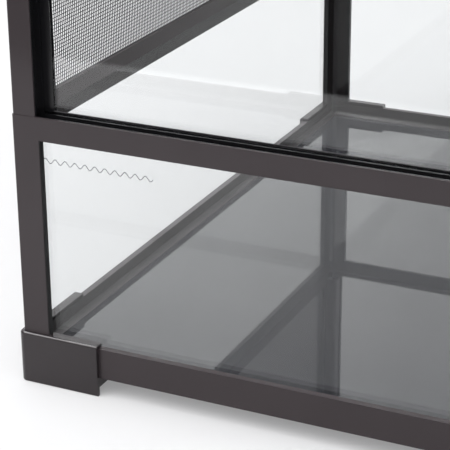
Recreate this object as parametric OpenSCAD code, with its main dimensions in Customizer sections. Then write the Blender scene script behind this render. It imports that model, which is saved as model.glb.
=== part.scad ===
// Reptile terrarium with a shallow water-tight glass base, sliding glass front
// doors, mesh side panels and a lift-out mesh lid. Millimetres, +Z up.
// Origin: centre of the footprint, on the surface that the feet stand on.
// The front, with the doors, faces -Y.

/* [Enclosure] */
// Width over the corner feet
width = 914; // [600:1:1250]
// Depth over the corner feet
depth = 457; // [380:1:650]
// Height to the top of the corner caps
height = 610; // [450:1:950]
// Height of the top of the middle rails, where lower and upper posts meet
seam_z = 157.2; // [120:0.2:220]

/* [Frame profiles] */
// Side of the square corner posts
post = 16; // [14:0.5:22]
// Wall of the aluminium extrusions
wall = 1.3; // [1:0.1:1.5]
// Rounding of the posts' outer corner
post_round = 1.2; // [0.6:0.1:2]
// Rounding of the posts' corner that faces the inside
post_inner_round = 2.6; // [1:0.1:3.5]
// Set-back of the upper posts from the faces of the lower ones
post_step = 0.4; // [0.1:0.1:0.8]
// Height of the base rails
base_rail_h = 17.9; // [16:0.1:26]
// Clear height under the base rails
base_lift = 10.5; // [9:0.5:20]
// Height of the middle rails
mid_rail_h = 13.2; // [12:0.2:18]
// Height of the top rails
top_rail_h = 18; // [17:0.5:26]
// Depth of the glazing grooves in posts and rails
groove_d = 5; // [4:0.5:5.5]
// Rounding of the rails' long edges
rail_round = 0.8; // [0.3:0.1:1]
// How much narrower the upper front posts are
front_post_cut = 2; // [1:0.5:3]
// Length of the connectors that join the lower and upper posts
joiner_l = 40; // [24:2:60]

/* [Glass] */
// Thickness of the fixed panes
pane_t = 4; // [3:0.5:5]
// Set-back of the panes from the outer face of the frame
pane_set = 3.8; // [3.4:0.1:4.4]
// Clearance of a pane or panel in its groove, each side
pane_fit = 0.2; // [0.1:0.05:0.3]
// Thickness of the bottom pane
floor_t = 6; // [4:0.5:8]
// Thickness of the foam sheet under the bottom pane
foam_t = 2; // [1:0.5:3]
// Leg of the triangular sealant bead around the bottom pane
bead = 3; // [2:0.5:5]
// Thickness of the black glazing strip beside the front pane
strip_t = 0.5; // [0.3:0.1:1.2]
// Set-back of the glazing strip from the face of the frame
strip_set = 0.3; // [0.1:0.1:1]
// Thickness of the glazing strips beside the rear posts
rear_strip_t = 2.6; // [0.5:0.1:4]

/* [Corner feet and caps] */
// Wall of the moulded feet and caps
foot_wall = 2.3; // [1.8:0.1:3]
// Gap between the feet or caps and the frame
foot_fit = 0.2; // [0.1:0.05:0.4]
// Length of the foot and cap legs along the front
leg_x = 49.6; // [40:0.2:70]
// Length of the foot and cap legs along the sides
leg_y = 59.5; // [40:0.5:80]
// Rounding of the outer upright corner
foot_round = 4; // [3:0.5:6]
// Rounding of the feet's outer bottom edge
foot_edge = 0.8; // [0.4:0.1:1.4]
// Height under the feet's end walls and inner walls
skirt_lift = 5; // [2:0.5:6]
// Rounding of the caps' outer top edge
cap_edge = 2; // [1:0.1:2.2]
// Rounding of the rolled top lip
lip_round = 1.4; // [0.5:0.1:1.6]
// Thickness of the top lip that lies on the rails
lip_t = 2.2; // [1.5:0.1:3]
// Thickness of the top of the caps
cap_t = 4; // [3.5:0.5:6]
// Depth of the skirt of the top caps below the top rails
cap_skirt = 2; // [0:0.5:4]
// Thickness of the stiffening ribs under the feet
rib_t = 1.8; // [1.2:0.1:2.5]
// Spacing of the stiffening ribs
rib_pitch = 10.5; // [8:0.5:12]

/* [Sliding doors] */
// Thickness of the door panes
door_t = 3; // [2.5:0.5:4]
// Overlap of the two closed doors
door_overlap = 30; // [16:1:60]
// Depth of the lower door channels
track_d = 4.8; // [3.8:0.2:5.2]
// Depth of the upper door channels
upper_track_d = 10; // [8:0.5:12]
// Wall of the black track and jamb inserts
liner_t = 0.9; // [0.6:0.1:1.2]
// Thickness of the middle rib between the two channels
rib_w = 1.2; // [0.8:0.1:1.6]
// Gap between a closed door and its jamb, and under its lower edge
door_fit = 0.5; // [0.3:0.1:1]
// How far a door reaches into the upper channel
door_catch = 7; // [5:0.5:8]
// Depth of the recess for the door jamb in an upper front post
jamb_d = 2.5; // [2:0.1:3]
// How far the ribs of the jamb stand out of the post
jamb_lip = 1.3; // [0.5:0.1:1.8]
// Length of the finger pulls
pull_l = 64; // [40:1:100]
// Width of the finger pulls
pull_w = 20; // [14:1:30]
// Thickness of the finger pulls
pull_t = 2; // [1.4:0.1:2.4]
// Distance of a finger pull's middle from the edge of its door
pull_in = 38; // [24:1:80]
// Width of the rim around the finger pull's dish
pull_rim = 2.5; // [1.5:0.5:4]
// Depth of the finger pull's dish
pull_dish = 1.1; // [0.6:0.1:1.2]
// Width of the black seal on the closing edge of a door
seal_w = 8; // [5:0.5:12]
// Thickness of the seal on the faces and the edge of the pane
seal_t = 0.7; // [0.4:0.1:0.8]
// Gap between the ends of a seal and the rails
seal_gap = 1; // [0.5:0.5:3]

/* [Mesh panels and lid] */
// Width of the side mesh frames' bars
mesh_bar = 9; // [8:0.5:14]
// Spacing of the openings that stand in for the fine weave
mesh_pitch = 36; // [34:1:60]
// Width of the bars between them
mesh_wire = 6; // [3:0.5:8]
// Thickness of the mesh
mesh_t = 0.8; // [0.5:0.1:1.2]
// Width of the rebate that the mesh lies in
mesh_seat = 4; // [3:0.5:6]
// How far the side mesh panels reach below the top of the middle rails
mesh_drop = 4.2; // [3:0.2:6]
// Width of the lid frame's bars
lid_bar = 20; // [16:1:30]
// Thickness of the lid frame
lid_t = 6; // [5:0.5:8]
// Width of the ledge that the lid rests on
ledge_w = 8; // [6:0.5:12]
// Gap around the lid
lid_fit = 1; // [0.5:0.1:2]
// Depth of the lid's top below the top of the rails
lid_drop = 2; // [1:0.5:4]
// Length of the lid's lifting tabs
tab_l = 70; // [40:1:100]
// Margin of a lifting tab on the lid's bar
tab_in = 3; // [2:0.5:5]
// Width of the ridges on a lifting tab
tab_ridge = 3.5; // [2:0.5:5]

/* [Cable ports] */
// Height of the port strip under the rear top rail
port_strip_h = 26; // [24:1:34]
// Height of a port slot
port_h = 12; // [9:0.5:13]
// Length of a port slot
port_l = 60; // [40:1:90]
// Distance of a port's middle from the side of the enclosure
port_in = 157; // [110:1:200]
// Thickness of the sliding gates
gate_t = 2; // [1.5:0.1:2.5]
// Overlap of a gate over the edges of its slot
gate_lap = 1.8; // [1:0.1:2]
// Wall of the port strip in front of a gate
gate_wall = 0.9; // [0.6:0.1:1.2]
// Distance of a gate's finger ridges from its middle
gate_grip = 12; // [6:1:14]
// How far the finger ridges stand out of the port strip
gate_ridge = 0.5; // [0.3:0.1:0.6]
// Clearance of a gate in its channel
gate_fit = 0.2; // [0.1:0.05:0.4]

/* [Screws] */
// Radius of the screw shanks
screw_r = 1.7; // [1.4:0.1:2]
// Radius of the screw heads
screw_head_r = 3.4; // [3:0.1:4]
// Thickness of the screw heads
screw_head_t = 2.2; // [1.6:0.1:2.6]
// Distance of the screws from the ends of the feet and caps
screw_end = 12; // [9:0.5:14]
// Clearance around a screw shank
screw_fit = 0.15; // [0.1:0.05:0.3]
// Clearance around a screw head
head_fit = 0.4; // [0.2:0.1:0.8]
// How far a cap screw reaches into its rail
screw_tip = 3; // [2:0.5:5]

/* [Hidden] */
$fn = 48;

// Colours
DARK_ALU = "#4a4648";
BLACK_PLASTIC = "#242426";
BLACK_RUBBER = "#141416";
PANE = [0.8, 0.9, 0.9, 0.3];
FLOOR_GREY = "#8b8d90";
STEEL = "#9a9a9c";

// Frame faces, measured from the middle of the footprint
inset = foot_wall + foot_fit;
face_x = width / 2 - inset;
face_y = depth / 2 - inset;
base_z0 = base_lift;
base_z1 = base_z0 + base_rail_h;
mid_z0 = seam_z - mid_rail_h;
top_z1 = height - cap_t;
top_z0 = top_z1 - top_rail_h;

// Glazing
pane_in = pane_set + pane_t;
hollow_in = pane_set - wall * 0.75;
tray_x = face_x - pane_set - pane_fit;
tray_y = face_y - pane_in - pane_fit;
groove_a = pane_set - pane_fit;
groove_b = pane_in + pane_fit;
pane_lap = groove_d - pane_fit;
foam_z = base_z0 + wall;
floor_z0 = foam_z + foam_t;
floor_z1 = floor_z0 + floor_t;
side_pane_top = seam_z - mesh_drop;
mesh_z0 = side_pane_top;

// Door channels: u runs inward from the frame face
channel_a = wall + liner_t;
channel_b = post - wall - liner_t;
rib_u = (channel_a + channel_b) / 2;
outer_u = (channel_a + rib_u - rib_w / 2) / 2;
inner_u = (channel_b + rib_u + rib_w / 2) / 2;
track_floor = mid_rail_h - track_d - liner_t;
front_post_w = post - front_post_cut;
jamb_base = front_post_w - jamb_d;
door_z0 = mid_z0 + track_floor + liner_t + door_fit;
door_z1 = top_z0 + door_catch;
door_end = face_x - jamb_base - liner_t - door_fit - seal_t;
door_w = door_end + door_overlap / 2;

// Lid and ports
ledge_z = top_z1 - lid_t - lid_drop;
strip_z0 = top_z0 - port_strip_h;
port_z = strip_z0 + groove_d + (port_strip_h - groove_d) / 2;
port_x = width / 2 - port_in;
gate_h = port_h + 2 * gate_lap;
gate_u0 = wall + gate_wall;
gate_u1 = gate_u0 + gate_t + 2 * gate_fit;
strip_u0 = wall / 2;
strip_u1 = groove_b + gate_wall + gate_t / 2;

// Screws: distance inward from the frame face, and from the outer corner
screw_margin = 0.6;
screw_u = post - wall - screw_head_r - screw_margin;
screw_at_x = leg_x - screw_end;
screw_at_y = leg_y - screw_end;

// Overlap of the walls of a moulding where they run into each other
weld = 0.4;
// A sharp edge, drawn as the least rounding
sharp = 0.01;

// ---- shared shapes -------------------------------------------------------

// Repeats its children at one corner: sx and sy are -1 or 1, and the shape is
// drawn for the corner at the origin that opens towards +X and +Y.
module corner(sx, sy, x, y) {
    translate([sx * x, sy * y, 0])
        mirror([sx > 0 ? 1 : 0, 0, 0]) mirror([0, sy > 0 ? 1 : 0, 0]) children();
}

// Extrudes a section of (inward, up) along X, along the front edge at -y.
module along_front(x0, x1, y) {
    translate([x0, -y, 0]) rotate([90, 0, 90]) linear_extrude(x1 - x0) children();
}

// Extrudes a section of (inward, up) along Y, along the left edge at -x.
module along_left(y0, y1, x) {
    translate([-x, y1, 0]) rotate([90, 0, 0]) linear_extrude(y1 - y0) children();
}

module to_rear() { mirror([0, 1, 0]) children(); }
module to_right() { mirror([1, 0, 0]) children(); }

module block(x0, x1, y0, y1, z0, z1) {
    translate([x0, y0, z0]) cube([x1 - x0, y1 - y0, z1 - z0]);
}

module area(x0, x1, y0, y1) { translate([x0, y0]) square([x1 - x0, y1 - y0]); }

// A rectangle whose near corner has radius r0 and whose far corner has r1.
module soft_square(w, h, r0, r1) {
    difference() {
        square([w, h]);
        difference() { square(r0); translate([r0, r0]) circle(r0); }
        translate([w - r1, h - r1]) difference() { square(r1); circle(r1); }
    }
}

// A flat frame of four bars.
module ring(w, h, bar) {
    difference() {
        square([w, h], center = true);
        square([w - 2 * bar, h - 2 * bar], center = true);
    }
}

// ---- posts ---------------------------------------------------------------

// Square tube with a groove for a pane on each of its two inner sides.
module post_section(step, w) {
    difference() {
        translate([step, step]) soft_square(w - step, post - step, post_round, post_inner_round);
        area(step + wall, post - groove_d - wall, step + wall, post - groove_d - wall);
        area(groove_a, groove_b, post - groove_d, post + 1);
    }
}

// Hollow angle in front of the glass corner, as deep as the rails beside it.
module lower_post() {
    color(DARK_ALU) translate([0, 0, base_z0]) linear_extrude(seam_z - base_z0) difference() {
        soft_square(post, post, post_round, sharp);
        area(pane_set, post + 1, pane_set, post + 1);
        angle_section(wall, hollow_in, post - wall);
    }
}

// An L with both legs running from a to b across and ending at far.
module angle_section(a, b, far) {
    area(a, far, a, b);
    area(a, b, a, far);
}

module upper_post_rear() {
    color(DARK_ALU) translate([0, 0, seam_z]) linear_extrude(top_z1 - seam_z) difference() {
        post_section(post_step, post);
        area(post - groove_d, post + 1, groove_a, groove_b);
        area(post - groove_d, post - wall - rail_round, post - groove_d, post - wall - rail_round);
    }
}

// The front ones have a notch at the top for the end of the door track.
module lower_post_front() {
    difference() {
        lower_post();
        block(jamb_base, post + 1, wall, post - wall, mid_z0 + track_floor, seam_z + 1);
    }
}

// The front ones are narrower and hold the black door jamb in a side recess.
module upper_post_front() {
    color(DARK_ALU) translate([0, 0, seam_z]) linear_extrude(top_z1 - seam_z) difference() {
        post_section(post_step, front_post_w);
        area(jamb_base, post, wall, post - wall);
    }
}

// Moulded connectors: a square plug in the upper post, a pad that carries the
// post on the glass corner, and an angled tongue in the lower post.
module post_joiners() {
    color(BLACK_PLASTIC) for (sx = [-1, 1], sy = [-1, 1]) corner(sx, sy, face_x, face_y)
        post_joiner();
}

module post_joiner() {
    near = post_step + wall + foot_fit;
    far = post - groove_d - wall - foot_fit;
    pad = pane_set + foot_fit;
    reach = joiner_l / 2;
    block(near, far, near, far, seam_z, seam_z + reach);
    block(pad, far, pad, far, side_pane_top, seam_z + reach / 2);
    block(pad, post - groove_d - foot_fit, pad, post - groove_d - foot_fit, side_pane_top, seam_z);
    translate([0, 0, seam_z - reach]) linear_extrude(reach + 1)
        angle_section(near, hollow_in - foot_fit, far);
}

// ---- base ----------------------------------------------------------------

// Slim hollow wall in front of the pane, with a flange that carries the floor.
module base_rail_section() {
    difference() {
        union() {
            translate([0, base_z0]) soft_square(pane_set, base_rail_h, rail_round, sharp);
            area(0, post, base_z0, base_z0 + wall);
            area(post - wall, post, base_z0, floor_z0);
        }
        area(wall, hollow_in, base_z0 + wall, base_z1 - wall);
    }
}

module base_rail_x() {
    color(DARK_ALU) difference() {
        along_front(-face_x + post, face_x - post, face_y) base_rail_section();
        for (s = [-1, 1]) translate([s * (width / 2 - screw_at_x), -face_y + screw_u, base_z0 - 1])
            cylinder(r = screw_r + screw_fit, h = wall + 2);
    }
}

module base_rail_y() {
    color(DARK_ALU) difference() {
        along_left(-face_y + post, face_y - post, face_x) base_rail_section();
        for (s = [-1, 1]) translate([-face_x + screw_u, s * (depth / 2 - screw_at_y), base_z0 - 1])
            cylinder(r = screw_r + screw_fit, h = wall + 2);
    }
}

// One sheet between the upturned edges of the base rails, and a strip outside them.
module base_foam() {
    color("#3a3b3d") difference() {
        translate([0, 0, foam_z]) linear_extrude(foam_t) difference() {
            square([2 * (face_x - pane_set), 2 * (face_y - pane_set)], center = true);
            ring(2 * (face_x - post + wall), 2 * (face_y - post + wall), wall);
        }
        for (sx = [-1, 1], sy = [-1, 1]) corner(sx, sy, face_x, face_y) screw_wells();
    }
}

// Pockets in the foam over the screw tips.
module screw_wells() {
    for (p = [[screw_at_x - inset, screw_u], [screw_u, screw_at_y - inset]])
        translate([p[0], p[1], foam_z - 1]) cylinder(r = screw_r + screw_margin, h = foam_t + 2);
}

module floor_pane() {
    color(FLOOR_GREY)
        block(-face_x + pane_in, face_x - pane_in, -face_y + pane_in, face_y - pane_in, floor_z0, floor_z1);
}

// Round the bottom pane and up the four corners of the glass.
module sealant_bead() {
    color("#303134") {
        for (s = [0, 1]) {
            mirror([0, s, 0]) along_front(-face_x + pane_in, face_x - pane_in, face_y)
                translate([pane_in, floor_z1]) bead_section();
            mirror([s, 0, 0]) along_left(-face_y + pane_in, face_y - pane_in, face_x)
                translate([pane_in, floor_z1]) bead_section();
        }
        for (sx = [-1, 1], sy = [-1, 1]) corner(sx, sy, face_x, face_y)
            translate([pane_in, pane_in, floor_z1]) linear_extrude(mid_z0 - floor_z1) bead_section();
    }
}

module bead_section() {
    difference() {
        square(bead);
        translate([bead, bead]) circle(bead);
    }
}

// ---- feet and caps -------------------------------------------------------

// Sweeps a section of (inward, up) along both legs of a corner, round its
// upright edge. The section is no wider than the corner's rounding.
module corner_sweep() {
    translate([foot_round, 0, 0]) rotate([90, 0, 90]) linear_extrude(leg_x - foot_round) children();
    translate([0, leg_y, 0]) rotate([90, 0, 0]) linear_extrude(leg_y - foot_round) children();
    translate([foot_round, foot_round, 0]) rotate([0, 0, 180]) rotate_extrude(angle = 90)
        intersection() {
            translate([foot_round, 0]) mirror([1, 0]) children();
            area(0, foot_round, -height, 2 * height);
        }
}

// Plan of the corner: an L with legs leg_w wide, its outer sides set back.
module corner_plan(margin, leg_w) {
    difference() {
        area(margin, leg_x, margin, leg_y);
        area(leg_w, leg_x + 1, leg_w, leg_y + 1);
        round_off(margin);
    }
}

// Plan of the hollow inside a corner moulding with walls all round.
module corner_hollow(leg_w) {
    difference() {
        area(foot_wall, leg_x - foot_wall, foot_wall, leg_y - foot_wall);
        area(leg_w - foot_wall, leg_x, leg_w - foot_wall, leg_y);
        round_off(foot_wall);
    }
}

// What the rounding of the upright edge takes off a plan.
module round_off(margin) {
    difference() {
        area(-1, foot_round, -1, foot_round);
        translate([foot_round, foot_round]) circle(foot_round - margin);
    }
}

// Outer wall with a rounded lower edge and a rolled lip.
module foot_wall_section(z0, z1, edge) {
    difference() {
        area(0, foot_wall, z0, z1);
        translate([0, z0]) difference() {
            square(edge);
            translate([edge, edge]) circle(edge);
        }
        translate([0, z1 - lip_round]) difference() {
            square(lip_round);
            translate([lip_round, 0]) circle(lip_round);
        }
    }
}

module foot() {
    top = base_z1 + lip_t;
    leg_w = inset + post;
    color(BLACK_PLASTIC) difference() {
        union() {
            corner_sweep() foot_wall_section(0, top, foot_edge);
            // floor that the post and the rails stand on, and the skirt below it
            difference() {
                translate([0, 0, skirt_lift]) linear_extrude(base_z0 - skirt_lift) corner_plan(weld, leg_w);
                translate([0, 0, -1]) linear_extrude(base_z0 - foot_wall + 1) corner_hollow(leg_w);
            }
            foot_ribs(leg_w);
            // lip on top of the rails, up to the pane
            translate([0, 0, base_z1]) linear_extrude(lip_t) difference() {
                corner_plan(lip_round, inset + pane_set);
                area(inset, inset + post, inset, inset + post);
            }
            // angled tongue inside the post, and a pad under the corner of the foam
            translate([inset, inset, base_z0 - foot_wall]) {
                linear_extrude(base_z1 - base_z0)
                    angle_section(wall + foot_fit, hollow_in - foot_fit, post - wall - foot_fit);
                linear_extrude(foot_wall + wall)
                    area(pane_set + foot_fit, post - foot_fit, pane_set + foot_fit, post - foot_fit);
            }
        }
        for (p = screw_spots()) translate([p[0], p[1], 0]) {
            translate([0, 0, -1]) cylinder(r = screw_head_r + head_fit, h = base_z0 - foot_wall + 1);
            cylinder(r = screw_r + screw_fit, h = base_z0 + 1);
        }
    }
}

function screw_spots() = [[screw_at_x, inset + screw_u], [inset + screw_u, screw_at_y]];

// Cross ribs and screw bosses in the hollow under a foot.
module foot_ribs(leg_w) {
    top = base_z0 - foot_wall + weld;
    near = foot_wall - weld;
    far = leg_w - foot_wall + weld;
    for (i = [1, 2]) {
        at_x = screw_at_x - i * rib_pitch;
        at_y = screw_at_y - i * rib_pitch;
        block(at_x, at_x + rib_t, near, far, skirt_lift, top);
        block(near, far, at_y, at_y + rib_t, skirt_lift, top);
    }
    for (p = screw_spots()) translate([p[0], p[1], skirt_lift])
        cylinder(r = screw_head_r + head_fit + rib_t, h = top - skirt_lift);
}

module cap() {
    bottom = top_z0 - cap_skirt;
    leg_w = inset + post;
    peg = post - groove_d - 2 * wall - post_step - 2 * foot_fit;
    peg_at = inset + post_step + wall + foot_fit;
    color(BLACK_PLASTIC) difference() {
        union() {
            translate([0, 0, height]) mirror([0, 0, 1]) corner_sweep()
                foot_wall_section(0, height - bottom, cap_edge);
            translate([0, 0, top_z1]) linear_extrude(cap_t - cap_edge) corner_plan(weld, leg_w);
            translate([0, 0, top_z1]) linear_extrude(cap_t) corner_plan(cap_edge - weld, leg_w);
            block(peg_at, peg_at + peg, peg_at, peg_at + peg, top_z1 - top_rail_h, top_z1);
        }
        for (p = screw_spots()) translate([p[0], p[1], top_z1 - 1]) {
            cylinder(r = screw_r + screw_fit, h = cap_t + 2);
            translate([0, 0, 1 + cap_t - screw_head_t]) cylinder(r = screw_head_r + head_fit, h = cap_t);
        }
    }
}

// Pan-head screw: the head's seat is at z = 0 and the shank points up.
module screw(length) {
    translate([0, 0, -screw_head_t]) cylinder(r = screw_head_r, h = screw_head_t);
    cylinder(r = screw_r, h = length);
}

module foot_screws() {
    color(STEEL) for (sx = [-1, 1], sy = [-1, 1]) corner(sx, sy, width / 2, depth / 2)
        for (p = screw_spots()) translate([p[0], p[1], base_z0 - foot_wall])
            screw(foot_wall + wall + foam_t);
}

module cap_screws() {
    color(STEEL) for (sx = [-1, 1], sy = [-1, 1]) corner(sx, sy, width / 2, depth / 2)
        for (p = screw_spots()) translate([p[0], p[1], height - screw_head_t]) mirror([0, 0, 1])
            screw(cap_t - screw_head_t + wall + screw_tip);
}

// ---- middle rails --------------------------------------------------------

// The side ones are a slim hollow bar in front of the panes.
module mid_rail_section() {
    translate([0, mid_z0]) difference() {
        soft_square(pane_set, mid_rail_h, rail_round, sharp);
        area(wall, hollow_in, wall, mid_rail_h - wall);
    }
}

module mid_rail_front() {
    color(DARK_ALU) along_front(-face_x + post, face_x - post, face_y) translate([0, mid_z0]) difference() {
        soft_square(post, mid_rail_h, rail_round, rail_round);
        area(wall, post - wall, track_floor, mid_rail_h + 1);
        area(groove_a, groove_b, -1, groove_d);
        area(groove_b + wall, post - wall, wall, track_floor - wall);
    }
}

// ---- glazing -------------------------------------------------------------

// The lower panes are glued into a tray: the side ones stand between the others.
module lower_pane_front() {
    color(PANE) block(-tray_x, tray_x, -face_y + pane_set, -face_y + pane_in,
        floor_z0, mid_z0 + groove_d - pane_fit);
}

module lower_pane_rear() {
    color(PANE) block(-tray_x, tray_x, face_y - pane_in, face_y - pane_set, floor_z0, side_pane_top);
}

module lower_pane_side() {
    color(PANE) block(-face_x + pane_set, -face_x + pane_in, -tray_y, tray_y, floor_z0, side_pane_top);
}

// Black strips between the lower posts and the panes: slim ones at the front,
// and wider ones along both legs of the rear posts.
module glazing_strips() {
    color(BLACK_RUBBER) translate([0, 0, base_z1 + lip_t]) linear_extrude(mid_z0 - base_z1 - lip_t) {
        for (sx = [-1, 1]) corner(sx, -1, face_x, face_y)
            area(post, post + strip_t, strip_set, pane_set);
        for (sx = [-1, 1]) corner(sx, 1, face_x, face_y) {
            area(post, post + rear_strip_t, strip_set, pane_set);
            area(strip_set, pane_set, post, post + rear_strip_t);
        }
    }
}

module upper_pane_rear() {
    half = face_x - post + pane_lap;
    color(PANE) block(-half, half, face_y - pane_in, face_y - pane_set,
        mesh_z0, strip_z0 + groove_d - pane_fit);
}

// ---- mesh sides ----------------------------------------------------------

mesh_half = face_y - post + pane_lap;
mesh_z1 = top_z0 + groove_d - pane_fit;

module mesh_frame() {
    high = mesh_z1 - mesh_z0;
    color(DARK_ALU) translate([-face_x + pane_set, 0, mesh_z0 + high / 2]) rotate([90, 0, 90])
        difference() {
            linear_extrude(pane_t) ring(2 * mesh_half, high, mesh_bar);
            translate([0, 0, -1]) linear_extrude(1 + pane_t / 2)
                ring(2 * (mesh_half - mesh_bar + mesh_seat), high - 2 * (mesh_bar - mesh_seat),
                    mesh_seat + 1);
        }
}

// A panel of w x h with a plain grid of openings, about mesh_pitch apart.
module woven(w, h) {
    nx = round(w / mesh_pitch);
    ny = round(h / mesh_pitch);
    linear_extrude(mesh_t) {
        for (i = [0:nx]) translate([-w / 2 + (w - mesh_wire) * i / nx, -h / 2]) square([mesh_wire, h]);
        for (i = [0:ny]) translate([-w / 2, -h / 2 + (h - mesh_wire) * i / ny]) square([w, mesh_wire]);
    }
}

module side_mesh() {
    lap = mesh_bar - mesh_seat + pane_fit;
    color("#2c2c2e") translate([-face_x + pane_set + pane_t / 2 - mesh_t, 0, (mesh_z0 + mesh_z1) / 2])
        rotate([90, 0, 90]) woven(2 * (mesh_half - lap), mesh_z1 - mesh_z0 - 2 * lap);
}

// ---- door tracks and doors -----------------------------------------------

// Double channel that opens upwards, for the whole depth of a rail.
module channels(d) {
    difference() {
        area(wall, post - wall, 0, liner_t + d);
        area(channel_a, rib_u - rib_w / 2, liner_t, liner_t + d + 1);
        area(rib_u + rib_w / 2, channel_b, liner_t, liner_t + d + 1);
    }
}

module track_lower() {
    color(BLACK_PLASTIC) along_front(-face_x + jamb_base, face_x - jamb_base, face_y)
        translate([0, mid_z0 + track_floor]) channels(track_d);
}

module track_upper() {
    color(BLACK_PLASTIC) along_front(-face_x + jamb_base, face_x - jamb_base, face_y)
        translate([0, top_z0 + upper_track_d + liner_t]) mirror([0, 1]) channels(upper_track_d);
}

// Shallow upright double channel that the closed doors run into.
module jamb() {
    color(BLACK_PLASTIC) translate([jamb_base, 0, seam_z]) linear_extrude(top_z0 - seam_z) {
        area(0, liner_t, wall, post - wall);
        area(0, jamb_d, wall, channel_a);
        area(0, jamb_d + jamb_lip, rib_u - rib_w / 2, rib_u + rib_w / 2);
        area(0, jamb_d + jamb_lip, channel_b, post - wall);
    }
}

module door_pane(u, side) {
    color(PANE) mirror([side, 0, 0]) translate([0, u - face_y, 0])
        block(-door_end, -door_end + door_w, -door_t / 2, door_t / 2, door_z0, door_z1);
}

// Low finger pull with a dished grip and two raised edges.
module door_pull(u, side) {
    mid = (door_z0 + door_z1) / 2;
    color(BLACK_PLASTIC) mirror([side, 0, 0])
        translate([-door_end + pull_in, -face_y + u - door_t / 2, mid]) rotate([90, 0, 0]) difference() {
            linear_extrude(pull_t) pill(pull_w, pull_l);
            translate([0, 0, pull_t - pull_dish]) linear_extrude(pull_t)
                pill(pull_w - 2 * pull_rim, pull_l - 2 * pull_rim);
        }
}

// Channel-shaped seal pushed on to the edge of a door that closes on the jamb.
module door_seal(u, side) {
    half = door_t / 2 + seal_t;
    color(BLACK_PLASTIC) mirror([side, 0, 0]) translate([-door_end - seal_t, u - face_y, seam_z + seal_gap])
        linear_extrude(top_z0 - seam_z - 2 * seal_gap) difference() {
            area(0, seal_w, -half, half);
            area(seal_t, seal_w + 1, -door_t / 2, door_t / 2);
        }
}

module pill(w, l) {
    square([w, l - w], center = true);
    for (s = [-1, 1]) translate([0, s * (l - w) / 2]) circle(w / 2);
}

// ---- top frame and lid ---------------------------------------------------

// Hollow rail with a groove below and a ledge for the lid.
module top_rail_section() {
    difference() {
        union() {
            translate([0, top_z0]) square([post, top_rail_h]);
            area(post - weld, post + ledge_w, ledge_z - wall, ledge_z);
        }
        area(groove_a, groove_b, top_z0 - 1, top_z0 + groove_d);
        area(wall, groove_a, top_z0 + wall, top_z1 - wall);
        area(groove_a - 1, post - wall, top_z0 + groove_d + wall, top_z1 - wall);
    }
}

module top_rail_front_section() {
    difference() {
        union() {
            translate([0, top_z0]) square([post, top_rail_h]);
            area(post - weld, post + ledge_w, ledge_z - wall, ledge_z);
        }
        area(wall, post - wall, top_z0 - 1, top_z0 + upper_track_d + liner_t);
        area(wall, post - wall, top_z0 + upper_track_d + liner_t + wall, top_z1 - wall);
    }
}

module rail_holes_x() {
    difference() {
        children();
        for (s = [-1, 1]) translate([s * (width / 2 - screw_at_x), -face_y + screw_u, top_z1 - wall - 1])
            cylinder(r = screw_r + screw_fit, h = wall + 2);
    }
}

// Runs on to the narrower front posts, with the ledge kept clear of them.
module top_rail_front() {
    color(DARK_ALU) rail_holes_x() difference() {
        along_front(-face_x + front_post_w, face_x - front_post_w, face_y) top_rail_front_section();
        for (s = [0, 1]) mirror([s, 0, 0])
            block(-face_x, -face_x + post, -face_y + post, -face_y + post + ledge_w + 1,
                top_z0 - 1, top_z1);
    }
}

module top_rail_rear() {
    color(DARK_ALU) to_rear() rail_holes_x()
        along_front(-face_x + post, face_x - post, face_y) top_rail_section();
}

module top_rail_side() {
    color(DARK_ALU) difference() {
        along_left(-face_y + post, face_y - post, face_x) top_rail_section();
        for (s = [0, 1]) mirror([0, s, 0]) block(-face_x + post - 0.5, -face_x + post + ledge_w + 1,
            -face_y, -face_y + post + ledge_w, ledge_z - wall - 1, ledge_z + 1);
        for (s = [-1, 1]) translate([-face_x + screw_u, s * (depth / 2 - screw_at_y), top_z1 - wall - 1])
            cylinder(r = screw_r + screw_fit, h = wall + 2);
    }
}

lid_half_x = face_x - post - lid_fit;
lid_half_y = face_y - post - lid_fit;

module lid_frame() {
    color(DARK_ALU) translate([0, 0, ledge_z]) difference() {
        linear_extrude(lid_t) {
            ring(2 * lid_half_x, 2 * lid_half_y, lid_bar);
            square([lid_bar, 2 * (lid_half_y - lid_bar) + 1], center = true);
        }
        // rebates for the mesh, in the underside of each bay
        for (s = [-1, 1]) translate([s * (lid_half_x - lid_bar / 2) / 2, 0, -1])
            linear_extrude(1 + lid_t / 3) square([lid_half_x - 1.5 * lid_bar + 2 * mesh_seat,
                2 * (lid_half_y - lid_bar + mesh_seat)], center = true);
    }
}

module lid_mesh() {
    color("#2c2c2e") for (s = [-1, 1])
        translate([s * (lid_half_x - lid_bar / 2) / 2, 0, ledge_z + lid_t / 3 - mesh_t])
            woven(lid_half_x - 1.5 * lid_bar + 2 * (mesh_seat - pane_fit),
                2 * (lid_half_y - lid_bar + mesh_seat - pane_fit));
}

// Ribbed tabs near both ends of the lid's front bar.
module lid_tabs() {
    tab_w = lid_bar - 2 * tab_in;
    tab_h = height - ledge_z - lid_t;
    color(BLACK_PLASTIC) for (s = [-1, 1])
        translate([s * lid_half_x / 2, -lid_half_y + lid_bar / 2, ledge_z + lid_t]) {
            linear_extrude(tab_h / 2) rotate(90) pill(tab_w, tab_l);
            for (i = [-2:2]) translate([i * (tab_l - tab_w) / 5, 0, 0]) linear_extrude(tab_h)
                square([tab_ridge, tab_w - tab_in], center = true);
        }
}

// ---- cable ports ---------------------------------------------------------

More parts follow.
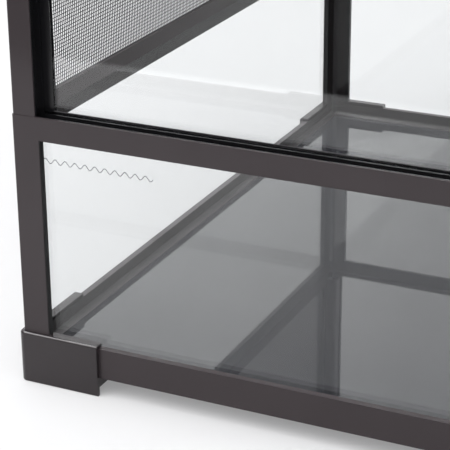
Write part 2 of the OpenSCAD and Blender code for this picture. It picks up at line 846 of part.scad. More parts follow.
module port_strip() {
    half = face_x - post;
    color(BLACK_PLASTIC) to_rear() difference() {
        along_front(-half, half, face_y) difference() {
            area(strip_u0, strip_u1, strip_z0, top_z0);
            area(groove_a, groove_b, strip_z0 - 1, strip_z0 + groove_d);
            area(gate_u0, gate_u1, port_z - gate_h / 2 - gate_fit, port_z + gate_h / 2 + gate_fit);
            area(0, gate_u1, port_z - port_h / 2, port_z + port_h / 2);
        }
        for (s = [-1, 1]) block(s * port_x - port_l / 2, s * port_x + port_l / 2, -face_y, -face_y + post,
            port_z - port_h / 2, port_z + port_h / 2);
    }
}

module port_gate(s) {
    u0 = gate_u0 + gate_fit;
    ridge_w = 2.4;
    color(BLACK_PLASTIC) to_rear() translate([s * port_x, -face_y, 0]) {
        half = port_l / 2 + gate_lap;
        block(-half, half, u0, u0 + gate_t, port_z - gate_h / 2, port_z + gate_h / 2);
        for (i = [-1, 1]) translate([s * gate_grip + i * ridge_w, u0 + weld, port_z]) rotate([90, 0, 0])
            linear_extrude(u0 + weld - strip_u0 + gate_ridge) pill(ridge_w, port_h - ridge_w);
    }
}

// ---- the assembly --------------------------------------------------------

corner(-1, -1, width / 2, depth / 2) foot();  // foot_front_left
corner(1, -1, width / 2, depth / 2) foot();  // foot_front_right
corner(-1, 1, width / 2, depth / 2) foot();  // foot_rear_left
corner(1, 1, width / 2, depth / 2) foot();  // foot_rear_right
base_rail_x();  // base_rail_front
to_rear() base_rail_x();  // base_rail_rear
base_rail_y();  // base_rail_left
to_right() base_rail_y();  // base_rail_right
base_foam();
floor_pane();
sealant_bead();
corner(-1, -1, face_x, face_y) lower_post_front();  // lower_post_front_left
corner(1, -1, face_x, face_y) lower_post_front();  // lower_post_front_right
corner(-1, 1, face_x, face_y) lower_post();  // lower_post_rear_left
corner(1, 1, face_x, face_y) lower_post();  // lower_post_rear_right
mid_rail_front();
color(DARK_ALU)  // mid_rail_rear
    to_rear() along_front(-face_x + post, face_x - post, face_y) mid_rail_section();
color(DARK_ALU)  // mid_rail_left
    along_left(-face_y + post, face_y - post, face_x) mid_rail_section();
color(DARK_ALU)  // mid_rail_right
    to_right() along_left(-face_y + post, face_y - post, face_x) mid_rail_section();
lower_pane_front();
lower_pane_rear();
lower_pane_side();  // lower_pane_left
to_right() lower_pane_side();  // lower_pane_right
glazing_strips();
corner(-1, -1, face_x, face_y) upper_post_front();  // upper_post_front_left
corner(1, -1, face_x, face_y) upper_post_front();  // upper_post_front_right
corner(-1, 1, face_x, face_y) upper_post_rear();  // upper_post_rear_left
corner(1, 1, face_x, face_y) upper_post_rear();  // upper_post_rear_right
post_joiners();
upper_pane_rear();
mesh_frame();  // mesh_frame_left
to_right() mesh_frame();  // mesh_frame_right
side_mesh();  // side_mesh_left
to_right() side_mesh();  // side_mesh_right
track_lower();
track_upper();
corner(-1, -1, face_x, face_y) jamb();  // jamb_left
corner(1, -1, face_x, face_y) jamb();  // jamb_right
door_pane(inner_u, 0);  // door_pane_left
door_pane(outer_u, 1);  // door_pane_right
door_pull(inner_u, 0);  // door_pull_left
door_pull(outer_u, 1);  // door_pull_right
door_seal(inner_u, 0);  // door_seal_left
door_seal(outer_u, 1);  // door_seal_right
top_rail_front();
top_rail_rear();
top_rail_side();  // top_rail_left
to_right() top_rail_side();  // top_rail_right
corner(-1, -1, width / 2, depth / 2) cap();  // cap_front_left
corner(1, -1, width / 2, depth / 2) cap();  // cap_front_right
corner(-1, 1, width / 2, depth / 2) cap();  // cap_rear_left
corner(1, 1, width / 2, depth / 2) cap();  // cap_rear_right
lid_frame();
lid_mesh();
lid_tabs();
port_strip();
port_gate(-1);  // port_gate_left
port_gate(1);  // port_gate_right
foot_screws();
cap_screws();
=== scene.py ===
"""Looks of a reptile terrarium: an aluminium frame with a shallow glass base,
sliding glass doors, woven wire sides and a lift-out lid.

Lengths are in metres. +Z is up and the doors face -Y. The origin is the middle
of the footprint, on the surface that the feet stand on.
"""
import logging
import math
from dataclasses import dataclass
from enum import Enum

import bpy
from mathutils import Matrix, Vector


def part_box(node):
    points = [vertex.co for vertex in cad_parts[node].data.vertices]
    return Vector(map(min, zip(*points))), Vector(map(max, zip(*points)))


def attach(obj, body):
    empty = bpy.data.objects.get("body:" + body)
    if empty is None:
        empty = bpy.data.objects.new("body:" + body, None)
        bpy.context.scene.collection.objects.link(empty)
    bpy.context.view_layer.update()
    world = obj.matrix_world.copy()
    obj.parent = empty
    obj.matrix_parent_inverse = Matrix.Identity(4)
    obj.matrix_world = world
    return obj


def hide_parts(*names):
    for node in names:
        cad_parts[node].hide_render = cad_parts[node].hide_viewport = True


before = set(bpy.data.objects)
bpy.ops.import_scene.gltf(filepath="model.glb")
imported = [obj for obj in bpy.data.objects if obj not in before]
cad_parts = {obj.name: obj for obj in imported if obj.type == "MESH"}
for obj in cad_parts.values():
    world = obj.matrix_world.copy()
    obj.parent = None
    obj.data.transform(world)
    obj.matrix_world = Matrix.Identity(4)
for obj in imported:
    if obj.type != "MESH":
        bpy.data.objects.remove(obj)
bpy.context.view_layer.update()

MM = 0.001

logging.basicConfig(level=logging.INFO, format="%(name)s: %(message)s")
log = logging.getLogger("terrarium")


class Axis(Enum):
    """The direction that a wire or bar runs in."""

    X = 0
    Y = 1
    Z = 2


class Side(Enum):
    """Left or right of the enclosure, as the sign of X."""

    LEFT = -1
    RIGHT = 1


# ---- colours and material nodes -------------------------------------------


def linear(hex_colour: str) -> tuple[float, float, float, float]:
    """Turns an sRGB hex colour into the linear RGBA that shaders use.

    Args:
        hex_colour: Six hex digits, with or without a leading "#".

    Returns:
        Red, green, blue and an alpha of 1.
    """
    digits = hex_colour.lstrip("#")
    channels = [int(digits[i:i + 2], 16) / 255 for i in (0, 2, 4)]
    straight = [c / 12.92 if c <= 0.04045 else ((c + 0.055) / 1.055) ** 2.4 for c in channels]
    return (*straight, 1.0)


def add_node(tree: bpy.types.NodeTree, kind: str, settings: dict | None = None,
             inputs: dict | None = None) -> bpy.types.Node:
    """Adds a node with its settings, and sets or links its sockets.

    Args:
        tree: The node tree that gets the node.
        kind: Blender's name of the node type.
        settings: Property names and values.
        inputs: Socket names or indices, each with a value or an output socket to link.

    Returns:
        The new node.
    """
    made = tree.nodes.new(kind)
    for name, value in (settings or {}).items():
        setattr(made, name, value)
    for key, value in (inputs or {}).items():
        if isinstance(value, bpy.types.NodeSocket):
            tree.links.new(value, made.inputs[key])
        else:
            made.inputs[key].default_value = value
    return made


Socket = bpy.types.NodeSocket


def fade(tree: bpy.types.NodeTree, value: Socket, start_end: tuple[float, float],
         low_high: tuple[float, float] = (0.0, 1.0)) -> Socket:
    """Maps a value from one range onto another, and holds it at the ends.

    Args:
        tree: The node tree.
        value: The value.
        start_end: The values that give the first and the last result.
        low_high: The first and the last result.

    Returns:
        The result's socket.
    """
    return add_node(tree, "ShaderNodeMapRange", None,
                    {"Value": value, "From Min": start_end[0], "From Max": start_end[1],
                     "To Min": low_high[0], "To Max": low_high[1]}).outputs["Result"]


def combine(tree: bpy.types.NodeTree, operation: str, first: Socket | float,
            second: Socket | float) -> Socket:
    """Combines two values by a math node.

    Args:
        tree: The node tree.
        operation: Blender's name of the operation.
        first: The first value.
        second: The second value.

    Returns:
        The result's socket.
    """
    return add_node(tree, "ShaderNodeMath", {"operation": operation}, {0: first, 1: second}).outputs[0]


def blend_values(tree: bpy.types.NodeTree, share: Socket, first: Socket | float,
                 second: Socket | float) -> Socket:
    """Blends two values.

    Args:
        tree: The node tree.
        share: How much of the second value there is.
        first: The first value.
        second: The second value.

    Returns:
        The result's socket.
    """
    return add_node(tree, "ShaderNodeMix", {"data_type": "FLOAT"},
                    {0: share, 2: first, 3: second}).outputs[0]


def blend_shaders(tree: bpy.types.NodeTree, share: Socket, first: Socket, second: Socket) -> Socket:
    """Blends two shaders.

    Args:
        tree: The node tree.
        share: How much of the second shader there is.
        first: The first shader.
        second: The second shader.

    Returns:
        The result's socket.
    """
    return add_node(tree, "ShaderNodeMixShader", None, {0: share, 1: first, 2: second}).outputs[0]


def glowing(tree: bpy.types.NodeTree, colour: tuple[float, float, float, float],
            strength: Socket | float) -> Socket:
    """Makes a shader that gives off light.

    Args:
        tree: The node tree.
        colour: Its linear RGBA.
        strength: Its brightness.

    Returns:
        The shader's socket.
    """
    return add_node(tree, "ShaderNodeEmission", None, {"Color": colour, "Strength": strength}).outputs[0]


def is_mirrored(tree: bpy.types.NodeTree) -> Socket:
    """Tells whether something is seen as a mirror image.

    Args:
        tree: The node tree.

    Returns:
        A socket with 1 in mirror images and 0 elsewhere.
    """
    mirrors = add_node(tree, "ShaderNodeLightPath").outputs["Glossy Depth"]
    return combine(tree, "GREATER_THAN", mirrors, 0.5)


@dataclass(frozen=True)
class Finish:
    """A surface finish. Each kind shades a material of its own."""

    name: str

    def shade(self, tree: bpy.types.NodeTree) -> bpy.types.NodeSocket:
        """Builds the nodes and returns the surface's output socket."""
        raise NotImplementedError

    def material(self) -> bpy.types.Material:
        """Returns the finish's material, made on first use.

        Returns:
            The shared material.
        """
        known = bpy.data.materials.get(self.name)
        if known:
            return known
        made = bpy.data.materials.new(self.name)
        made.use_nodes = True
        made.node_tree.nodes.clear()
        surface = self.shade(made.node_tree)
        add_node(made.node_tree, "ShaderNodeOutputMaterial", None, {"Surface": surface})
        return made


@dataclass(frozen=True)
class SatinSurface(Finish):
    """An opaque satin or glossy surface with fine grain and slight unevenness.

    The grain is what the process leaves: the peel of a powder coat, the spark
    texture of a mould or the skin of an extrusion.

    Attributes:
        colour: Main colour.
        shade_colour: Colour of the darker patches.
        roughness: Middle of the roughness.
        roughness_spread: Width of the roughness's range.
        metallic: 1 for bare metal.
        ior: Index of refraction.
        coat: Weight of the clear coat.
        coat_roughness: Roughness of the clear coat.
        grain: Size of the grain.
        grain_depth: Height of the grain.
        cloud: Size of the patches.
        cloud_range: Noise values between which a patch changes colour.
        stretch: Density of the grain along each axis.
    """

    colour: str = "#404040"
    shade_colour: str = "#303030"
    roughness: float = 0.35
    roughness_spread: float = 0.08
    metallic: float = 0.0
    ior: float = 1.5
    coat: float = 0.0
    coat_roughness: float = 0.05
    grain: float = 0.6 * MM
    grain_depth: float = 0.02 * MM
    cloud: float = 60 * MM
    cloud_range: tuple[float, float] = (0.3, 0.7)
    stretch: tuple[float, float, float] = (1.0, 1.0, 1.0)

    def shade(self, tree: bpy.types.NodeTree) -> bpy.types.NodeSocket:
        """Builds the nodes.

        Args:
            tree: The material's node tree.

        Returns:
            The shader socket.
        """
        place = add_node(tree, "ShaderNodeTexCoord").outputs["Object"]
        run = add_node(tree, "ShaderNodeMapping", None,
                       {"Vector": place, "Scale": self.stretch}).outputs["Vector"]
        patches = add_node(tree, "ShaderNodeTexNoise", None,
                           {"Vector": place, "Scale": 1 / self.cloud, "Detail": 3.0}).outputs["Fac"]
        grain = add_node(tree, "ShaderNodeTexNoise", None,
                         {"Vector": run, "Scale": 1 / self.grain, "Detail": 2.0}).outputs["Fac"]
        colour = add_node(tree, "ShaderNodeMix", {"data_type": "RGBA"},
                          {"Factor": fade(tree, patches, self.cloud_range),
                           6: linear(self.shade_colour), 7: linear(self.colour)}).outputs[2]
        low = self.roughness - self.roughness_spread / 2
        rough = fade(tree, grain, (0.0, 1.0), (low, low + self.roughness_spread))
        bump = add_node(tree, "ShaderNodeBump", None,
                        {"Strength": 1.0, "Distance": self.grain_depth, "Height": grain}).outputs["Normal"]
        return add_node(tree, "ShaderNodeBsdfPrincipled", None,
                        {"Base Color": colour, "Roughness": rough, "Normal": bump,
                         "Metallic": self.metallic, "IOR": self.ior, "Coat Weight": self.coat,
                         "Coat Roughness": self.coat_roughness}).outputs["BSDF"]


@dataclass(frozen=True)
class FloatGlass(Finish):
    """Clear float glass. Lamps shine through it without a dark shadow."""

    tint: str = "#feffff"
    ior: float = 1.5

    def shade(self, tree: bpy.types.NodeTree) -> bpy.types.NodeSocket:
        """Builds the nodes.

        Args:
            tree: The material's node tree.

        Returns:
            The shader socket.
        """
        glass = add_node(tree, "ShaderNodeBsdfPrincipled", None,
                         {"Base Color": linear(self.tint), "Roughness": 0.0, "IOR": self.ior,
                          "Transmission Weight": 1.0}).outputs["BSDF"]
        clear = add_node(tree, "ShaderNodeBsdfTransparent", None,
                         {"Color": linear(self.tint)}).outputs["BSDF"]
        light = add_node(tree, "ShaderNodeLightPath").outputs["Is Shadow Ray"]
        return blend_shaders(tree, light, glass, clear)


# Powder-coated aluminium extrusion: an even brown-black satin with a faint peel.
POWDER_COAT = SatinSurface("powder_coated_aluminium", colour="#373133", shade_colour="#332d2f",
                           roughness=0.42, roughness_spread=0.06, grain=1.2 * MM, grain_depth=0.006 * MM,
                           ior=1.3, coat=0.3, coat_roughness=0.1)
# Injection-moulded ABS: black with a polished mould's gloss.
MOULDED_ABS = SatinSurface("moulded_abs", colour="#2b2628", shade_colour="#272224", roughness=0.22,
                           roughness_spread=0.05, grain=2.5 * MM, grain_depth=0.004 * MM,
                           ior=1.35, coat=0.5, coat_roughness=0.05)
# Extruded rigid PVC of the tracks, the jambs and the door seals: deep black, smooth along its length.
EXTRUDED_PVC = SatinSurface("extruded_pvc", colour="#161618", shade_colour="#121214", roughness=0.24,
                            roughness_spread=0.05, grain=0.8 * MM, grain_depth=0.004 * MM,
                            stretch=(0.05, 1.0, 1.0))
# Extruded rubber glazing strip and spline: matt black with a dull edge light.
RUBBER = SatinSurface("extruded_rubber", colour="#131314", shade_colour="#0f0f11", roughness=0.55,
                      grain=0.5 * MM, grain_depth=0.01 * MM)
# Closed-cell polyethylene foam: matt dark grey with open cells cut by the knife.
FOAM = SatinSurface("closed_cell_foam", colour="#232325", shade_colour="#1b1b1d", roughness=0.85,
                    grain=0.9 * MM, grain_depth=0.12 * MM)
# Black silicone sealant, tooled by hand: smooth with slow waves.
SILICONE = SatinSurface("silicone_sealant", colour="#2c292b", shade_colour="#242123", roughness=0.42,
                        grain=14 * MM, grain_depth=0.12 * MM, coat=0.2, coat_roughness=0.15)
# Black epoxy-coated steel wire.
COATED_WIRE = SatinSurface("coated_steel_wire", colour="#26262a", shade_colour="#1e1e22", roughness=0.4,
                           grain=0.4 * MM, grain_depth=0.004 * MM)
# Zinc-plated steel: bright, slightly blue, with fine turning marks.
ZINC_STEEL = SatinSurface("zinc_plated_steel", colour="#b4b7bc", shade_colour="#9b9ea4", roughness=0.3,
                          metallic=1.0, grain=0.3 * MM, grain_depth=0.01 * MM)
# Ceramic ink screen-printed on the pane: dull mid grey.
SCREEN_INK = SatinSurface("screen_printed_ink", colour="#707275", shade_colour="#686a6d", roughness=0.6,
                          grain=0.2 * MM, grain_depth=0.002 * MM)
CLEAR_GLASS = FloatGlass("clear_float_glass")
# Float glass lying on black foam: both faces of the pane mirror, over a near-black ground.
FLOOR_GLASS = SatinSurface("float_glass_on_black_foam", colour="#2b2c30", shade_colour="#28292d",
                           roughness=0.03, roughness_spread=0.01, coat=1.0, coat_roughness=0.0,
                           grain=40 * MM, grain_depth=0.0)

FINISHES: dict[str, Finish] = {
    "foot_": MOULDED_ABS, "cap_": MOULDED_ABS, "door_pull_": MOULDED_ABS, "lid_tabs": MOULDED_ABS,
    "port_": MOULDED_ABS, "post_joiners": MOULDED_ABS,
    "track_": EXTRUDED_PVC, "jamb_": EXTRUDED_PVC, "door_seal_": EXTRUDED_PVC,
    "base_rail_": POWDER_COAT, "lower_post_": POWDER_COAT, "upper_post_": POWDER_COAT,
    "mid_rail_": POWDER_COAT, "top_rail_": POWDER_COAT, "mesh_frame_": POWDER_COAT,
    "lid_frame": POWDER_COAT, "lower_pane_": CLEAR_GLASS, "upper_pane_": CLEAR_GLASS,
    "door_pane_": CLEAR_GLASS, "floor_pane": FLOOR_GLASS, "base_foam": FOAM, "sealant_bead": SILICONE,
    "glazing_strips": RUBBER, "side_mesh_": COATED_WIRE, "lid_mesh": COATED_WIRE,
    "foot_screws": ZINC_STEEL, "cap_screws": ZINC_STEEL,
}


def dress(obj: bpy.types.Object, finish: Finish) -> None:
    """Gives an object one finish, in all its material slots."""
    obj.data.materials.clear()
    obj.data.materials.append(finish.material())


def dress_nodes() -> None:
    """Gives every CAD node its finish. The longest matching name start decides."""
    for name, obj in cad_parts.items():
        starts = [start for start in FINISHES if name.startswith(start)]
        if not starts:
            raise KeyError(f"no finish for {name}")
        dress(obj, FINISHES[max(starts, key=len)])
    log.info("dressed %d nodes", len(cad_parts))


# ---- modelling helpers -----------------------------------------------------


def deselect() -> None:
    """Leaves object mode with nothing selected."""
    if bpy.context.object and bpy.context.object.mode != "OBJECT":
        bpy.ops.object.mode_set(mode="OBJECT")
    bpy.ops.object.select_all(action="DESELECT")


def pick(*objects: bpy.types.Object) -> None:
    """Selects only these objects and makes the first one active."""
    deselect()
    for obj in objects:
        obj.select_set(True)
    bpy.context.view_layer.objects.active = objects[0]


def settle(obj: bpy.types.Object) -> bpy.types.Object:
    """Moves an object's place into its mesh, so that the object sits at the origin.

    Args:
        obj: The object.

    Returns:
        The same object.
    """
    pick(obj)
    bpy.ops.object.transform_apply(location=True, rotation=True, scale=True)
    return obj


def fit_in(obj: bpy.types.Object, finish: Finish, body: str) -> None:
    """Finishes a new piece: its material and the body that it rides on.

    Args:
        obj: The piece.
        finish: What it is made of.
        body: The CAD body that carries it.
    """
    dress(obj, finish)
    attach(obj, body)
    log.info("%s: %d faces on %s", obj.name, len(obj.data.polygons), body)


# ---- pieces ----------------------------------------------------------------


@dataclass
class WovenPanel:
    """A rectangle of woven wire, made of two layers of wires that touch.

    Attributes:
        name: The panel's name.
        low: Its low corner.
        high: Its high corner.
        normal: The direction across it.
        pitch: Distance between neighbouring wires.
        wire: Thickness of a wire.
        wire_sides: Number of faces round a wire.
        layer_lift: Distance of a layer from the middle plane, in wire thicknesses.
        smooth_below: Angle below which neighbouring faces are shaded as one.
    """

    name: str
    low: Vector
    high: Vector
    normal: Axis
    pitch: float
    wire: float = 0.5 * MM
    wire_sides: int = 6
    layer_lift: float = 0.46
    smooth_below: float = math.radians(70)

    def runs(self) -> tuple[Axis, Axis]:
        """Returns the two directions that the wires run in."""
        first, second = [axis for axis in Axis if axis is not self.normal]
        return first, second

    def layer(self, along: Axis, across: Axis, lift: float) -> bpy.types.Object:
        """Makes one layer of parallel wires.

        Args:
            along: The direction of the wires.
            across: The direction in which they repeat.
            lift: Offset of the layer from the panel's middle plane.

        Returns:
            The layer as one object.
        """
        size = self.high - self.low
        count = int(size[across.value] // self.pitch)
        middle = (self.low + self.high) / 2
        middle[self.normal.value] += lift
        middle[across.value] -= (count - 1) * self.pitch / 2
        turn = {Axis.X: (0, math.pi / 2, 0), Axis.Y: (math.pi / 2, 0, 0), Axis.Z: (0, 0, 0)}[along]
        deselect()
        bpy.ops.mesh.primitive_cylinder_add(vertices=self.wire_sides, radius=self.wire / 2,
                                            depth=size[along.value], end_fill_type="NGON",
                                            location=middle, rotation=turn)
        wires = settle(bpy.context.object)
        row = wires.modifiers.new("row", "ARRAY")
        row.count = count
        row.use_relative_offset = False
        row.use_constant_offset = True
        row.constant_offset_displace = [self.pitch if axis is across else 0.0 for axis in Axis]
        bpy.ops.object.modifier_apply(modifier="row")
        return wires

    def build(self) -> bpy.types.Object:
        """Makes the panel.

        Returns:
            The woven panel, one object.
        """
        first, second = self.runs()
        under = self.layer(first, second, -self.wire * self.layer_lift)
        over = self.layer(second, first, self.wire * self.layer_lift)
        pick(under, over)
        bpy.ops.object.join()
        bpy.ops.object.shade_smooth_by_angle(angle=self.smooth_below)
        under.name = under.data.name = self.name
        return under


@dataclass
class MeshPanels:
    """The woven wire in the side frames and in the lid.

    Attributes:
        pitch: Distance between neighbouring wires.
        middle_gain: How much nearer to the lid's middle than to its end a lid panel stops.
    """

    pitch: float = 2.0 * MM
    middle_gain: float = 8 * MM

    def build(self) -> None:
        """Makes the panels and puts them in place of the coarse CAD grids."""
        for side in Side:
            name = f"side_mesh_{side.name.lower()}"
            low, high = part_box(name)
            panel = WovenPanel(f"woven_side_{side.name.lower()}", low, high, Axis.X,
                               self.pitch).build()
            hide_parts(name)
            fit_in(panel, COATED_WIRE, "enclosure")
        low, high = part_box("lid_mesh")
        frame_low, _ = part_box("lid_frame")
        margin = low.x - frame_low.x
        bays = []
        for side in Side:
            near = Vector(low)
            far = Vector(high)
            if side is Side.LEFT:
                far.x = -margin + self.middle_gain
            else:
                near.x = margin - self.middle_gain
            bays.append(WovenPanel(f"woven_lid_{side.name.lower()}", near, far, Axis.Z,
                                   self.pitch).build())
        for panel in bays:
            fit_in(panel, COATED_WIRE, "lid")
        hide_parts("lid_mesh")


@dataclass
class LevelLine:
    """The printed wavy line on the lower front pane, as high as the base may be filled.

    Attributes:
        start: X and Z of its left end.
        end: X and Z of its right end.
        waves: Number of waves.
        steps_per_wave: Number of straight steps in a wave.
        swing: Height of a wave above its middle.
        stroke: Width of the line.
        ink: Thickness of the ink.
    """

    start: tuple[float, float] = (-438.7 * MM, 132.4 * MM)
    end: tuple[float, float] = (-372.9 * MM, 131.4 * MM)
    waves: int = 11
    steps_per_wave: int = 12
    swing: float = 1.3 * MM
    stroke: float = 0.42 * MM
    ink: float = 0.03 * MM

    def build(self) -> bpy.types.Object:
        """Makes the line as a thin ribbon on the outer face of the pane.

        Returns:
            The ribbon.
        """
        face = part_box("lower_pane_front")[0].y
        long = self.end[0] - self.start[0]
        deselect()
        bpy.ops.mesh.primitive_grid_add(x_subdivisions=self.waves * self.steps_per_wave,
                                        y_subdivisions=1, size=1.0, rotation=(math.pi / 2, 0, 0))
        line = bpy.context.object
        line.name = line.data.name = "level_line"
        line.scale = (long, self.stroke, 1.0)
        line.location = (self.start[0] + long / 2, face, self.start[1])
        settle(line)
        middle = self.start[1]
        for corner in line.data.vertices:
            part = (corner.co.x - self.start[0]) / long
            phase = 2 * math.pi * self.waves * part
            steep = math.hypot(1.0, self.swing * 2 * math.pi * self.waves / long * math.cos(phase))
            corner.co.z = (middle + (corner.co.z - middle) * steep + self.swing * math.sin(phase)
                           + part * (self.end[1] - self.start[1]))
        bpy.ops.object.mode_set(mode="EDIT")
        bpy.ops.mesh.select_all(action="SELECT")
        bpy.ops.mesh.extrude_region_move(TRANSFORM_OT_translate={"value": (0, -self.ink, 0)})
        bpy.ops.mesh.select_all(action="SELECT")
        bpy.ops.mesh.normals_make_consistent(inside=False)
        bpy.ops.object.mode_set(mode="OBJECT")
        fit_in(line, SCREEN_INK, "enclosure")
        return line


@dataclass
class MeshSpline:
    """The rubber spline that holds a woven panel in the groove of its frame.

    Attributes:
        gap: Distance of the spline's outer edge from the panel's edge.
        width: Its width.
        edge: Rounding of its edges.
        edge_steps: Number of faces across a rounding.
        fill: Share of the groove's depth that it fills.
        smooth_below: Angle below which neighbouring faces are shaded as one.
    """

    gap: float = 0.25 * MM
    width: float = 3.4 * MM
    edge: float = 0.35 * MM
    edge_steps: int = 3
    fill: float = 0.9
    smooth_below: float = math.radians(50)

    def ring(self, name: str, low: Vector, high: Vector, out: float, depth: float) -> bpy.types.Object:
        """Makes an upright ring with rounded edges, to the left or right of a panel.

        Args:
            name: The ring's name.
            low: Low corner of the panel that it holds.
            high: High corner of the same panel.
            out: X of the side of the ring that lies on the wire.
            depth: Its thickness along X, with the sign of the way out.

        Returns:
            The ring.
        """
        size = high - low
        middle = (low + high) / 2
        middle.x = out
        deselect()
        bpy.ops.mesh.primitive_plane_add(size=1.0, location=middle, rotation=(0, math.pi / 2, 0))
        ring = bpy.context.object
        ring.name = ring.data.name = name
        ring.scale = (size.z - 2 * self.gap, size.y - 2 * self.gap, 1.0)
        settle(ring)
        bpy.ops.object.mode_set(mode="EDIT")
        bpy.ops.mesh.select_all(action="SELECT")
        bpy.ops.mesh.inset(thickness=self.width, depth=0.0)
        bpy.ops.mesh.delete(type="FACE")
        bpy.ops.mesh.select_all(action="SELECT")
        bpy.ops.mesh.extrude_region_move(TRANSFORM_OT_translate={"value": (depth, 0, 0)})
        bpy.ops.mesh.select_all(action="SELECT")
        bpy.ops.mesh.normals_make_consistent(inside=False)
        bpy.ops.object.mode_set(mode="OBJECT")
        soft = ring.modifiers.new("soft", "BEVEL")
        soft.width = self.edge
        soft.segments = self.edge_steps
        bpy.ops.object.modifier_apply(modifier="soft")
        bpy.ops.object.shade_smooth_by_angle(angle=self.smooth_below)
        return ring

    def build(self) -> None:
        """Makes the splines of both side frames, on the outer side of the wire."""
        for side in Side:
            tag = side.name.lower()
            low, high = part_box(f"side_mesh_{tag}")
            frame_low, frame_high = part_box(f"mesh_frame_{tag}")
            wire_out = low.x if side is Side.LEFT else high.x
            face = frame_low.x if side is Side.LEFT else frame_high.x
            ring = self.ring(f"mesh_spline_{tag}", low, high, wire_out, (face - wire_out) * self.fill)
            fit_in(ring, RUBBER, "enclosure")


# ---- camera and studio -----------------------------------------------------


@dataclass(frozen=True)
class Softbox:
    """A rectangular lamp.

    Attributes:
        name: Its name.
        place: Its middle.
        size: Its width and height.
        radiance: Its brightness, where 1 is the brightness of white paper.
    """

    name: str
    place: tuple[float, float, float]
    size: tuple[float, float]
    radiance: float

    def hang(self, target: Vector) -> None:
        """Hangs the lamp.

        Args:
            target: The point that it faces.
        """
        data = bpy.data.lights.new(self.name, "AREA")
        data.shape = "RECTANGLE"
        data.size, data.size_y = self.size
        data.energy = self.radiance * math.pi * self.size[0] * self.size[1]
        obj = bpy.data.objects.new(self.name, data)
        bpy.context.scene.collection.objects.link(obj)
        turn = (target - Vector(self.place)).to_track_quat("-Z", "Y").to_matrix().to_4x4()
        obj.matrix_world = Matrix.Translation(self.place) @ turn


SOFTBOXES = (
    Softbox("top_softbox", (-0.3, -0.4, 2.6), (4.5, 4.0), 2.0),
    Softbox("front_softbox", (-1.5, -1.7, 1.5), (1.6, 1.2), 3.0),
    Softbox("right_softbox", (2.3, 0.7, 1.4), (1.6, 1.4), 2.5),
)


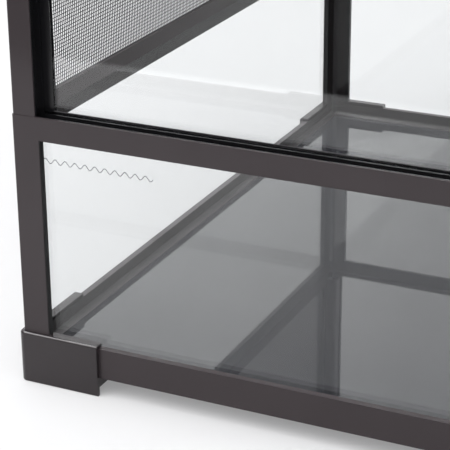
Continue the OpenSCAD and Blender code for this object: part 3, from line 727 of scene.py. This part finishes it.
@dataclass
class Studio:
    """A pale table in a soft, light studio, and the camera.

    Attributes:
        eye: Place of the camera.
        azimuth: Its direction, from +Y towards +X.
        dip: Its tilt below the level.
        roll: Its turn about its own axis.
        focal_px: Its focal length, in pixels of a picture that is picture_px wide.
        picture_px: Width of that picture.
        sensor: Width of the sensor in millimetres.
        clip: Nearest and furthest distance that it sees.
        lamp_target: The point that the lamps face.
        floor_reach: Half the length of the table's sides.
        floor_colour: Colour of the table's paint.
        backdrop_colour: Colour of the studio's light.
        painted_edge_gap: Distance from the front pane to the line beyond which the table is painted dark in
            mirror images.
        edge_blur: Length over which that painted dark fades in.
        painted_shade_from: X from which the table in front is painted darker in mirror images, up to the
            middle.
        painted_shade_depth: How much darker it is painted from the middle on.
        floor_glow: Share of the table's light that it gives off itself, at the enclosure.
        lamps_reach: Distances between which that share grows to 1.
        glow_from: Y from which the table in front gets a painted glow in mirror images.
        glow_blur: Length over which that painted glow grows.
        front_glow: Strength of that painted glow.
        dark_room: Brightness of the room in front of the enclosure, in mirror images; the table beyond its
            painted edge is painted this dark.
        room_blur: Y of the directions between which the room turns dark, with either sign.
        dim_from_to: X of the directions between which the room's light changes.
        dim_levels: The room's brightness on the left and on the right.
        ceiling_from_to: Z of the directions between which the mirrored ceiling starts.
        ceiling_light: Brightness of the mirrored ceiling.
    """

    eye: tuple[float, float, float] = (0.00980, -0.94217, 0.44598)
    azimuth: float = math.radians(-25.397)
    dip: float = math.radians(22.663)
    roll: float = math.radians(-0.480)
    focal_px: float = 1691.1
    picture_px: float = 450.0
    sensor: float = 36.0
    clip: tuple[float, float] = (0.02, 60.0)
    lamp_target: tuple[float, float, float] = (0.0, 0.0, 0.2)
    floor_reach: float = 14.0
    floor_colour: str = "#d5d5d6"
    backdrop_colour: str = "#f0f0f1"
    painted_edge_gap: float = 517 * MM
    edge_blur: float = 12 * MM
    painted_shade_from: float = -620 * MM
    painted_shade_depth: float = 0.45
    floor_glow: float = 0.3
    lamps_reach: tuple[float, float] = (0.9, 2.4)
    glow_from: float = -300 * MM
    glow_blur: float = 60 * MM
    front_glow: float = 0.15
    dark_room: float = 0.02
    room_blur: float = 0.15
    dim_from_to: tuple[float, float] = (-0.38, -0.28)
    dim_levels: tuple[float, float] = (1.04, 0.76)
    ceiling_from_to: tuple[float, float] = (0.72, 0.82)
    ceiling_light: float = 7.0

    def camera(self) -> None:
        """Sets up the camera from its place, direction and focal length."""
        data = bpy.data.cameras.new("camera")
        data.sensor_width = self.sensor
        data.lens = self.focal_px / self.picture_px * self.sensor
        data.clip_start, data.clip_end = self.clip
        obj = bpy.data.objects.new("camera", data)
        bpy.context.scene.collection.objects.link(obj)
        forward = Vector((math.sin(self.azimuth) * math.cos(self.dip),
                          math.cos(self.azimuth) * math.cos(self.dip), -math.sin(self.dip)))
        right = Vector((math.cos(self.azimuth), -math.sin(self.azimuth), 0.0))
        up = right.cross(forward)
        c, s = math.cos(self.roll), math.sin(self.roll)
        right, up = c * right + s * up, c * up - s * right
        turn = Matrix((right, up, -forward)).transposed().to_4x4()
        obj.matrix_world = Matrix.Translation(self.eye) @ turn
        bpy.context.scene.camera = obj

    def floor(self) -> None:
        """Lays the pale table. In mirror images only, it is painted dark beyond a front edge, painted darker
        towards the right and given a painted glow in front.
        """
        deselect()
        bpy.ops.mesh.primitive_plane_add(size=2 * self.floor_reach, location=(0, 0, 0))
        floor = bpy.context.object
        floor.name = "table"
        made = bpy.data.materials.new("painted_table")
        made.use_nodes = True
        tree = made.node_tree
        tree.nodes.clear()
        place = add_node(tree, "ShaderNodeTexCoord").outputs["Object"]
        parts = add_node(tree, "ShaderNodeSeparateXYZ", None, {0: place}).outputs
        light = linear(self.backdrop_colour)
        mirrored = is_mirrored(tree)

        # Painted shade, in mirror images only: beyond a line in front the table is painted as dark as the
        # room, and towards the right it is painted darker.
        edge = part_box("lower_pane_front")[0].y - self.painted_edge_gap
        ahead = fade(tree, parts["Y"], (edge, edge - self.edge_blur))
        painted_shade_right = fade(tree, parts["X"], (self.painted_shade_from, 0.0), (0.0, self.painted_shade_depth))
        painted_shade_right = combine(tree, "MULTIPLY", painted_shade_right, combine(tree, "LESS_THAN", parts["Y"], 0.0))
        painted_dark_share = combine(tree, "MULTIPLY", combine(tree, "MAXIMUM", ahead, painted_shade_right), mirrored)

        # The lamps light the table near the enclosure, and far away it glows as the room does.
        matt = add_node(tree, "ShaderNodeBsdfDiffuse", None,
                        {"Color": linear(self.floor_colour)}).outputs[0]
        away = add_node(tree, "ShaderNodeVectorMath", {"operation": "LENGTH"}, {0: place}).outputs["Value"]
        share = fade(tree, away, self.lamps_reach, (self.floor_glow, 1.0))
        paint = blend_shaders(tree, share, matt, glowing(tree, light, 1.0))
        # Painted light: in mirror images only, the table in front gets an added glow, a painted brighter
        # reflection.
        front = fade(tree, parts["Y"], (self.glow_from, self.glow_from - self.glow_blur),
                     (0.0, self.front_glow))
        mirror_glow = glowing(tree, light, combine(tree, "MULTIPLY", front, mirrored))
        paint = add_node(tree, "ShaderNodeAddShader", None, {0: paint, 1: mirror_glow}).outputs[0]

        # Painted dark: in mirror images, the table beyond its painted edge shows as the dim room.
        dark = glowing(tree, (1, 1, 1, 1), self.dark_room)
        surface = blend_shaders(tree, painted_dark_share, paint, dark)
        add_node(tree, "ShaderNodeOutputMaterial", None, {"Surface": surface})
        floor.data.materials.append(made)

    def world(self) -> None:
        """Lights the studio. Mirror images show a dark room in front and a bright ceiling."""
        world = bpy.data.worlds.new("studio")
        world.use_nodes = True
        bpy.context.scene.world = world
        tree = world.node_tree
        tree.nodes.clear()
        way = add_node(tree, "ShaderNodeTexCoord").outputs["Generated"]
        parts = add_node(tree, "ShaderNodeSeparateXYZ", None, {0: way}).outputs
        mirrored = is_mirrored(tree)
        room = combine(tree, "MULTIPLY", fade(tree, parts["Y"], (self.room_blur, -self.room_blur)), mirrored)
        level = blend_values(tree, room, fade(tree, parts["X"], self.dim_from_to, self.dim_levels),
                             self.dark_room)
        above = combine(tree, "MULTIPLY", fade(tree, parts["Z"], self.ceiling_from_to), mirrored)
        diffuse = add_node(tree, "ShaderNodeLightPath").outputs["Is Diffuse Ray"]
        ceiling = combine(tree, "MULTIPLY", above, combine(tree, "SUBTRACT", 1.0, diffuse))
        level = blend_values(tree, ceiling, level, self.ceiling_light)
        back = add_node(tree, "ShaderNodeBackground", None,
                        {"Color": linear(self.backdrop_colour), "Strength": level}).outputs[0]
        add_node(tree, "ShaderNodeOutputWorld", None, {"Surface": back})

    def build(self) -> None:
        """Makes the camera, the table, the world and the lamps."""
        self.camera()
        self.floor()
        self.world()
        for softbox in SOFTBOXES:
            softbox.hang(Vector(self.lamp_target))
        bpy.context.scene.view_settings.view_transform = "Standard"
        log.info("studio ready")


def main() -> None:
    """Builds the pieces in order."""
    Studio().build()
    dress_nodes()
    MeshPanels().build()
    MeshSpline().build()
    LevelLine().build()


if __name__ == "__main__":
    main()
